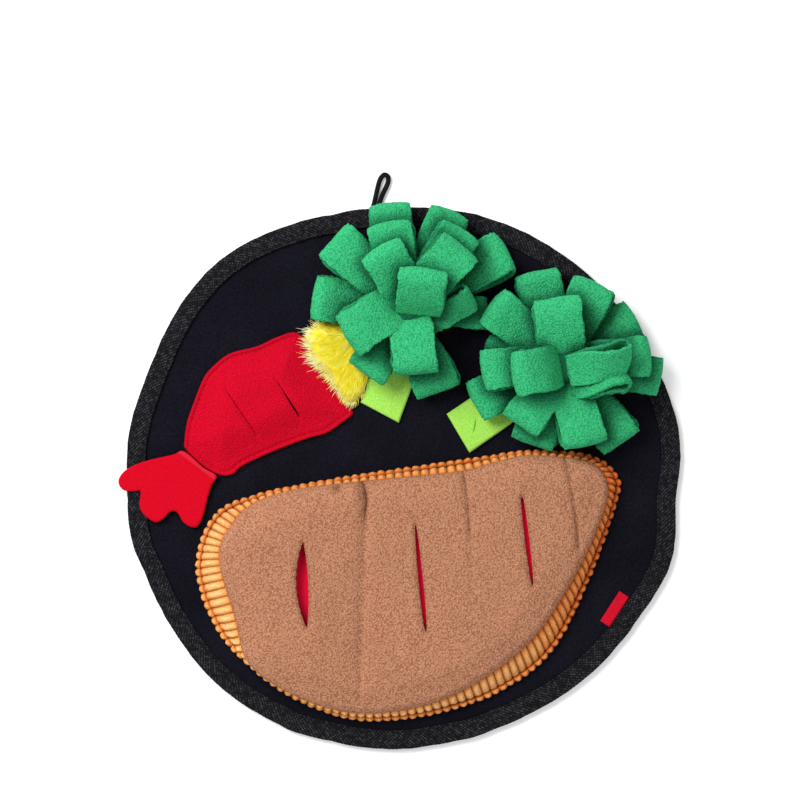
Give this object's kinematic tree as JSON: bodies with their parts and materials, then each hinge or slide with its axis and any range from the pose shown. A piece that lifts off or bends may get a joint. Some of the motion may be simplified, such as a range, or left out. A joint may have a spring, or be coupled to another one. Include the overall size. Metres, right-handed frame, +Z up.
{
  "type": "snuffle mat",
  "caption": "Round fabric snuffle mat for a pet, with a stuffed slit steak, a shrimp patch and green tufts of folded fleece loops on a bound velvet base.",
  "frame": {"origin": "centre of the mat's underside, on the floor", "axes": "+Z up out of the mat's face, +Y from the centre towards the hanging loop, +X to the right seen from above"},
  "size_m": [0.3087, 0.3166, 0.0506],
  "materials": {
    "velvet": "short dull pile",
    "webbing": "woven, dull",
    "corduroy": "ribbed, soft",
    "crimson": "smooth woven",
    "tan": "curly fleece",
    "red": "fleece",
    "red_felt": "felt",
    "yellow": "long plush",
    "lime": "felt",
    "green": "fleece",
    "tag": "woven ribbon"
  },
  "bodies": {
    "root": {"base_mat": "velvet", "edge_binding": "webbing", "hang_loop": "webbing", "side_tag": "tag", "steak_pad": "corduroy", "steak_lining": "crimson", "steak_top": "tan", "shrimp_body": "red", "shrimp_tail": "red_felt", "shrimp_fur": "yellow", "stalk_left": "lime", "stalk_right": "lime", "tuft_left": "green", "tuft_right": "green"}
  },
  "joints": []
}
